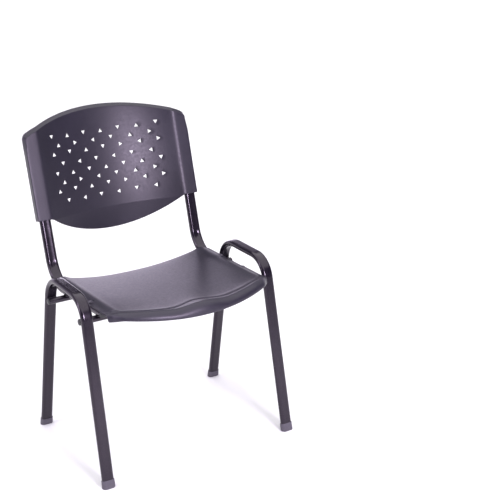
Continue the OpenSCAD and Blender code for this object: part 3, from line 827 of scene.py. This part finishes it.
def back_shell():
    """The moulded back: front skin, rounded outline, walls, rear skin with rim and sleeves."""
    rows = back_outline()
    loop, slope, band, wall = rows[:, :2], rows[:, 2], rows[:, 3], rows[:, 4]
    normal = loop_normals(loop)
    profile = edge_profile(slope, band, np.minimum(EDGE_R, 0.7 * band), 6)
    places = list(hole_places())

    def holes(grow):
        return [hole_loop(way, grow) + (x, t) for way, x, t in places]

    verts, faces = [], []

    def add(points, depth, triangles=()):
        base = len(verts)
        verts.extend(map(tuple, front_point(points[:, 0], points[:, 1], depth)))
        faces.extend(tuple(int(i) + base for i in f) for f in triangles)
        return base

    def extended(ring, points, depth):
        base = add(points, depth)
        following = list(range(base, base + len(points)))
        faces.extend(bridged(ring, following))
        return following

    # Front skin, inset by the edge radius.
    front_loop = loop - normal * profile[0][0][:, None]
    flat, triangles, fixed = triangulated(front_loop, [], holes(HOLE_BREAK))
    base = add(flat, 0.0, triangles)
    front_ids = [base + i for i in fixed]
    ring = front_ids[:len(loop)]
    # Rounded front edge, then the wall behind it.
    for inset, depth in profile[1:]:
        ring = extended(ring, loop - normal * inset[:, None], depth)
    rear_round = np.where(wall > 2 * BACK_T, 2.0, 0.8)
    for a in range(0, 90, 15):
        inset = rear_round * (1 - cos(a))
        ring = extended(ring, loop - normal * inset[:, None], wall - rear_round * (1 - sin(a)))
    # Rear skin: thin over the panel, deep over the sleeves and along the rim.
    panel_edges = [panel_border(loop, normal, SLEEVE_X - 0.4, RIM_FOOT),
                   panel_border(loop, normal, SLEEVE_X + 0.4, RIM_T)]
    rear_outline = loop - normal * rear_round[:, None]
    flat, triangles, fixed = triangulated(rear_outline, panel_edges, holes(0.0))
    depth = rear_depth(flat, loop)
    line_start = len(loop)
    for n, line in enumerate(panel_edges):
        ids = fixed[line_start:line_start + len(line)]
        depth[ids] = BACK_T if n == 0 else rear_wall(flat[ids])
        line_start += len(line)
    depth[fixed[:len(loop)]] = wall
    base = add(flat, depth, triangles)
    rear_ids = [base + i for i in fixed]
    faces += bridged(ring, rear_ids[:len(loop)])
    # Hole walls with a small break at the front.
    front_at, rear_at = len(loop), line_start
    for way, x, t in places:
        count = len(hole_loop(way, 0.0))
        ring = front_ids[front_at:front_at + count]
        for a in (45, 90):
            edge = hole_loop(way, HOLE_BREAK * (1 - sin(a))) + (x, t)
            ring = extended(ring, edge, HOLE_BREAK * (1 - cos(a)))
        faces += bridged(ring, rear_ids[rear_at:rear_at + count])
        front_at += count
        rear_at += count
    return moved((verts, faces), BACK_FRAME)


def panel_border(loop, normal, half_x, inset):
    """The line round the thin panel: up the right sleeve, along the rim and down the left one."""
    top = loop - normal * inset
    arc = top[(np.abs(top[:, 0]) < half_x) & (loop[:, 1] > 100)]
    right_t, bottom_t = arc[0][1], bottom_height(half_x, loop)
    up = line_points((half_x, bottom_t), (half_x, right_t), 6)
    down = [(-x, t) for x, t in reversed(up)]
    return np.array(up + [tuple(p) for p in arc] + down)


def bottom_height(half_x, loop):
    """Height just above the outline's bottom at the sleeve's inner wall."""
    near = loop[(loop[:, 0] > half_x - 2) & (loop[:, 1] < 50)]
    return float(near[0][1]) + 1.6


def rear_wall(flat):
    """Depth of the rim over the panel's width, and of the sleeves beyond it."""
    x = np.abs(flat[:, 0])
    front_y = panel_y(flat[:, 0], CREASE_S + flat[:, 1])
    share = smooth((x - SLEEVE_X + 4) / 4)
    return RIM_DEPTH + (SLEEVE_Y - front_y - RIM_DEPTH) * share


def rear_depth(flat, loop):
    """Depth behind the front surface at points of the rear skin."""
    x = np.abs(flat[:, 0])
    top_t = loop[loop[:, 1] > 100]
    order = np.argsort(top_t[:, 0])
    height = np.interp(flat[:, 0], top_t[order, 0], top_t[order, 1])
    rim_share = np.clip((flat[:, 1] - height + RIM_FOOT) / (RIM_FOOT - RIM_T), 0, 1)
    share = np.where(x > SLEEVE_X, 1.0, rim_share)
    return BACK_T + (rear_wall(flat) - BACK_T) * share


def sleeve_bores():
    """The pockets that the uprights slide into."""
    parts = []
    for x in (UPRIGHT_X, -UPRIGHT_X):
        rings = [[(x + a, b, s) for a, b in oval(TUBE_W + 2 * GAP, TUBE_T + 2 * GAP)]
                 for s in (SLEEVE_BOTTOM - 10, UPRIGHT_LEN + PLUG_FLANGE + 10)]
        parts.append(loft(rings))
    return moved(merged(parts), BACK_FRAME)


# ---- Materials ----

class Surface:
    """A procedural material: a principled shader and short helpers for its nodes."""

    def __init__(self, name, roughness, metallic=0.0, **sockets):
        self.material = bpy.data.materials.new(name)
        self.material.use_nodes = True
        self.nodes = self.material.node_tree.nodes
        self.links = self.material.node_tree.links
        self.shader = self.nodes["Principled BSDF"]
        self.shader.inputs["Roughness"].default_value = roughness
        self.shader.inputs["Metallic"].default_value = metallic
        for socket, value in sockets.items():
            self.shader.inputs[socket.replace("_", " ")].default_value = value
        self.place = self.nodes.new("ShaderNodeTexCoord").outputs["Object"]

    def node(self, kind, **inputs):
        """A node with its inputs linked to sockets or set to values. A _ in a name is a space."""
        node = self.nodes.new(kind)
        for name, value in inputs.items():
            self.feed(node.inputs[name.replace("_", " ")], value)
        return node

    def feed(self, socket, value):
        """Link a socket to another socket, or set it to a number, vector or colour."""
        if isinstance(value, bpy.types.NodeSocket):
            self.links.new(value, socket)
        else:
            socket.default_value = value

    def noise(self, scale, detail=3.0, stretch=(1, 1, 1)):
        place = self.node("ShaderNodeMapping", Vector=self.place, Scale=stretch).outputs["Vector"]
        return self.node("ShaderNodeTexNoise", Vector=place, Scale=scale, Detail=detail).outputs["Fac"]

    def cells(self, scale):
        return self.node("ShaderNodeTexVoronoi", Vector=self.place, Scale=scale).outputs["Distance"]

    def ramp(self, value, low, high, at_low=0.0, at_high=1.0):
        """The value's range from low to high, spread from at_low to at_high."""
        return self.node("ShaderNodeMapRange", Value=value, From_Min=low, From_Max=high,
                         To_Min=at_low, To_Max=at_high).outputs["Result"]

    def uneven(self, scale, detail, low, high):
        """A value that wanders between low and high."""
        return self.ramp(self.noise(scale, detail), 0.3, 0.7, low, high)

    def mix(self, factor, low, high):
        node = self.nodes.new("ShaderNodeMix")
        node.data_type = "RGBA"
        self.feed(node.inputs["Factor"], factor)
        for name, colour in (("A", low), ("B", high)):
            self.feed(node.inputs[name], (*colour, 1) if isinstance(colour, tuple) else colour)
        return node.outputs["Result"]

    def product(self, a, b):
        node = self.nodes.new("ShaderNodeMath")
        node.operation = "MULTIPLY"
        self.feed(node.inputs[0], a)
        self.feed(node.inputs[1], b)
        return node.outputs[0]

    def edges(self, low=0.52, high=0.6):
        """1 on convex edges, where a highlight is painted, 0 on open surfaces."""
        return self.ramp(self.nodes.new("ShaderNodeNewGeometry").outputs["Pointiness"], low, high)

    def height(self):
        """Height above the floor, in metres."""
        return self.node("ShaderNodeSeparateXYZ", Vector=self.place).outputs["Z"]

    def bump(self, value, distance, strength=1.0, **normal):
        return self.node("ShaderNodeBump", Height=value, Distance=distance, Strength=strength,
                         **normal).outputs["Normal"]

    def finish(self, colour, roughness, normal):
        """Link the three inputs that vary over the surface, and return the material."""
        self.links.new(colour, self.shader.inputs["Base Color"])
        self.links.new(roughness, self.shader.inputs["Roughness"])
        self.links.new(normal, self.shader.inputs["Normal"])
        return self.material


def shell_plastic():
    """Charcoal polypropylene with a fine leather-like grain, and a painted highlight along convex edges.
    """
    s = Surface("shell_plastic", 0.5, Specular_IOR_Level=0.45, Specular_Tint=(1.0, 0.94, 1.0, 1))
    cloud = s.uneven(9, 4, 0.0, 1.0)
    tone = s.mix(cloud, (0.014, 0.0125, 0.021), (0.019, 0.017, 0.028))
    # Convex edges are mixed towards a lighter colour: a painted highlight along the edges.
    colour = s.mix(s.product(s.edges(), 0.35), tone, (0.075, 0.064, 0.09))
    roughness = s.uneven(160, 3, 0.36, 0.44)
    grain = s.bump(s.cells(900), 0.00012, 0.55)
    return s.finish(colour, roughness, s.bump(s.noise(260, 3), 0.0001, 0.3, Normal=grain))


def black_paint():
    """Glossy black powder coat with a faint orange peel, dust-fine specks and a painted highlight along
    convex edges.
    """
    s = Surface("black_paint", 0.2, Specular_IOR_Level=0.45, Specular_Tint=(1.0, 0.88, 1.0, 1),
                Coat_Weight=0.08, Coat_Roughness=0.1)
    speck = s.ramp(s.noise(700, 2), 0.66, 0.74)
    tone = s.mix(speck, (0.0075, 0.0056, 0.0108), (0.02, 0.018, 0.025))
    # Convex edges are mixed towards a lighter grey: a painted highlight along the tube edges.
    colour = s.mix(s.product(s.edges(0.56, 0.66), 0.3), tone, (0.03, 0.03, 0.034))
    roughness = s.uneven(45, 4, 0.16, 0.26)
    return s.finish(colour, roughness, s.bump(s.noise(420, 2), 0.00004, 0.2))


def foot_plastic():
    """Dark grey moulded caps, scuffed and a little dusty towards the floor."""
    s = Surface("foot_plastic", 0.55)
    scuffs = s.ramp(s.noise(380, 5, (1, 1, 4)), 0.5, 0.7)
    low = s.ramp(s.height(), 0.0, 0.012, 1.0, 0.0)
    tone = s.mix(s.noise(60, 3), (0.066, 0.058, 0.076), (0.088, 0.079, 0.100))
    dust = s.product(s.product(scuffs, low), 0.7)
    colour = s.mix(dust, tone, (0.16, 0.155, 0.15))
    roughness = s.uneven(200, 3, 0.5, 0.66)
    return s.finish(colour, roughness, s.bump(s.cells(800), 0.0001, 0.5))


def cap_plastic():
    """Black polyethylene plugs with a satin moulding grain."""
    s = Surface("cap_plastic", 0.42)
    colour = s.mix(s.noise(90, 3), (0.016, 0.016, 0.018), (0.024, 0.024, 0.027))
    roughness = s.uneven(240, 3, 0.36, 0.5)
    return s.finish(colour, roughness, s.bump(s.noise(900, 2), 0.00005, 0.5))


def zinc_steel():
    """Bright zinc plate with fine turning marks and small stains."""
    s = Surface("zinc_steel", 0.3, metallic=1.0)
    colour = s.mix(s.ramp(s.noise(500, 4), 0.35, 0.7), (0.62, 0.63, 0.66), (0.46, 0.46, 0.46))
    roughness = s.uneven(900, 3, 0.22, 0.4)
    return s.finish(colour, roughness, s.bump(s.noise(1500, 2, (1, 1, 8)), 0.00004, 0.5))


def floor_paper():
    """Plain pale studio paper."""
    s = Surface("floor_paper", 0.9)
    colour = s.mix(s.noise(3, 2), (0.86, 0.86, 0.86), (0.88, 0.88, 0.88))
    roughness = s.uneven(40, 2, 0.85, 0.95)
    return s.finish(colour, roughness, s.bump(s.noise(300, 2), 0.0001, 0.2))


# ---- Pieces ----

def pair(name, part, material, slot, node):
    """The right piece and its mirror image. The node's name has {} in place of the side."""
    add_piece(f"{name}_right", *part, material, slot, node.format("right"))
    add_piece(f"{name}_left", *mirrored(part), material, slot, node.format("left"))


def build_frame(paint, plastic):
    """Leg loops, seat-and-back tubes, cross tubes, weld beads, caps and plugs."""
    pair("loop", leg_loop(), paint, "black_paint", "{}_leg_loop")
    pair("upright", back_upright(), paint, "black_paint", "{}_back_upright")
    pair("rail_end", moved(tube_plug(), RAIL_START), plastic, "cap_plastic", "{}_rail_plug")
    pair("upright_end", moved(tube_plug(), UPRIGHT_END), plastic, "cap_plastic", "{}_upright_plug")
    for end, y, z, tilt in (("front", FRONT_CROSS_Y, FRONT_CROSS_Z, 90 - FRONT_LEAN),
                            ("rear", REAR_CROSS_Y, REAR_CROSS_Z, REAR_LEAN - 90)):
        add_piece(f"{end}_bar", *cross_tube(y, z), paint, "black_paint", f"{end}_cross_tube")
        add_piece(f"{end}_beads", *cross_welds(y, z, tilt), paint, "black_paint",
                  f"{end}_cross_welds", sharp=70)
        pair(f"{end}_bar_end", tube_cap(y, z), plastic, "cap_plastic", end + "_{}_tube_cap")


def build_feet(plastic):
    """Four foot caps, each square to its leg."""
    for end, y, lean in (("front", FRONT_CORNER_Y - LOOP_Z * tan(FRONT_LEAN), -FRONT_LEAN),
                         ("rear", REAR_CORNER_Y + LOOP_Z * tan(REAR_LEAN), REAR_LEAN)):
        pair(f"{end}_shoe", foot_cap(y, lean), plastic, "foot_plastic", end + "_{}_foot")


def build_seat(plastic):
    """The seat moulding with its bosses and slots."""
    piece = add_piece("seat_moulding", *closed_sheet(seat_grid(), SEAT_T), plastic,
                      "shell_plastic", "seat_shell")
    bosses = [seat_boss(y) for y in SEAT_SCREW_Y]
    carve(piece, merged(bosses + [mirrored(b) for b in bosses]), "UNION", 40)
    carve(piece, seat_slots(), "DIFFERENCE", 40)


def build_back(plastic):
    """The back moulding with its sleeve bores."""
    piece = add_piece("back_moulding", *back_shell(), plastic, "shell_plastic", "back_shell",
                      sharp=BACK_SHARP)
    carve(piece, sleeve_bores(), "DIFFERENCE", BACK_SHARP)


def dress_fasteners(steel):
    """The screws and washers keep their CAD shapes."""
    for node in ("seat_screws", "seat_washers", "back_screws"):
        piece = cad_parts[node]
        piece.data.materials.clear()
        piece.data.materials.append(steel)
        edge = piece.modifiers.new("edge", "BEVEL")
        edge.width = 0.25 * MM
        edge.segments = 2
        edge.limit_method = "ANGLE"
        edge.angle_limit = math.radians(50)


# ---- Stage ----

def build_floor():
    """A wide plain floor."""
    bpy.ops.mesh.primitive_plane_add(size=30, location=(0, 0, 0))
    floor = bpy.context.object
    floor.name = "floor"
    floor.data.materials.append(floor_paper())


# Colour of the soft boxes and of the studio around the chair.
STUDIO_TINT = (0.89, 0.80, 1.0)


def add_light(name, place, target, size, power):
    """A soft box at a place, turned to its target."""
    data = bpy.data.lights.new(name, "AREA")
    data.shape = "RECTANGLE"
    data.size, data.size_y = size
    data.energy = power
    data.color = STUDIO_TINT
    lamp = bpy.data.objects.new(name, data)
    lamp.location = place
    lamp.rotation_mode = "QUATERNION"
    lamp.rotation_quaternion = (Vector(target) - Vector(place)).to_track_quat("-Z", "Y")
    bpy.context.collection.objects.link(lamp)


def build_lights():
    """Soft boxes in front and behind, a strip at the left and a wide overhead light."""
    middle = (0, 0, 0.5)
    add_light("front_box", (0.1, -3.2, 1.5), middle, (0.8, 0.7), 112)
    add_light("left_strip", (-3.0, 0.3, 1.6), middle, (0.3, 1.8), 40)
    add_light("rear_box", (1.1, 2.8, 0.88), (0, -0.1, 0.4), (0.9, 0.3), 5)
    overhead = bpy.data.lights.new("overhead", "SUN")
    overhead.energy = 3.6
    overhead.angle = math.radians(100)
    lamp = bpy.data.objects.new("overhead", overhead)
    lamp.rotation_euler = (math.radians(2), 0, 0)
    bpy.context.collection.objects.link(lamp)


def build_world():
    """A studio that is bright at the horizon behind the chair and dim elsewhere."""
    world = bpy.data.worlds.new("studio")
    world.use_nodes = True
    nodes, links = world.node_tree.nodes, world.node_tree.links
    place = nodes.new("ShaderNodeTexCoord")
    split = nodes.new("ShaderNodeSeparateXYZ")
    links.new(place.outputs["Generated"], split.inputs["Vector"])

    def share(axis, start, stop, low, high):
        node = nodes.new("ShaderNodeMapRange")
        for socket, value in zip(("From Min", "From Max", "To Min", "To Max"), (start, stop, low, high)):
            node.inputs[socket].default_value = value
        links.new(split.outputs[axis], node.inputs["Value"])
        return node.outputs["Result"]

    strength = nodes.new("ShaderNodeMath")
    strength.operation = "MULTIPLY"
    links.new(share("Y", -0.2, 0.7, 0.08, 1.0), strength.inputs[0])
    links.new(share("Z", 0.10, 0.42, 1.7, 0.25), strength.inputs[1])
    links.new(strength.outputs[0], nodes["Background"].inputs["Strength"])
    nodes["Background"].inputs["Color"].default_value = (*STUDIO_TINT, 1)
    bpy.context.scene.world = world
    bpy.context.scene.view_settings.view_transform = "Standard"


def build_camera():
    """A long lens, left of the chair's front and a little above it."""
    azimuth, elevation, roll = -32.12, 20.09, -0.538
    back = Vector((sin(azimuth) * cos(elevation), -cos(azimuth) * cos(elevation), sin(elevation)))
    right = Vector((cos(azimuth), sin(azimuth), 0))
    up = back.cross(right)
    axes = (right * cos(roll) + up * sin(roll), up * cos(roll) - right * sin(roll), back)
    data = bpy.data.cameras.new("camera")
    data.sensor_width = 36
    data.lens = 81.5
    camera = bpy.data.objects.new("camera", data)
    camera.matrix_world = Matrix.Translation((-1.213, -2.410, 1.458)) @ Matrix(axes).transposed().to_4x4()
    bpy.context.collection.objects.link(camera)
    bpy.context.scene.camera = camera


build_frame(black_paint(), cap_plastic())
build_feet(foot_plastic())
shell = shell_plastic()
build_seat(shell)
build_back(shell)
dress_fasteners(zinc_steel())
build_floor()
build_lights()
build_world()
build_camera()
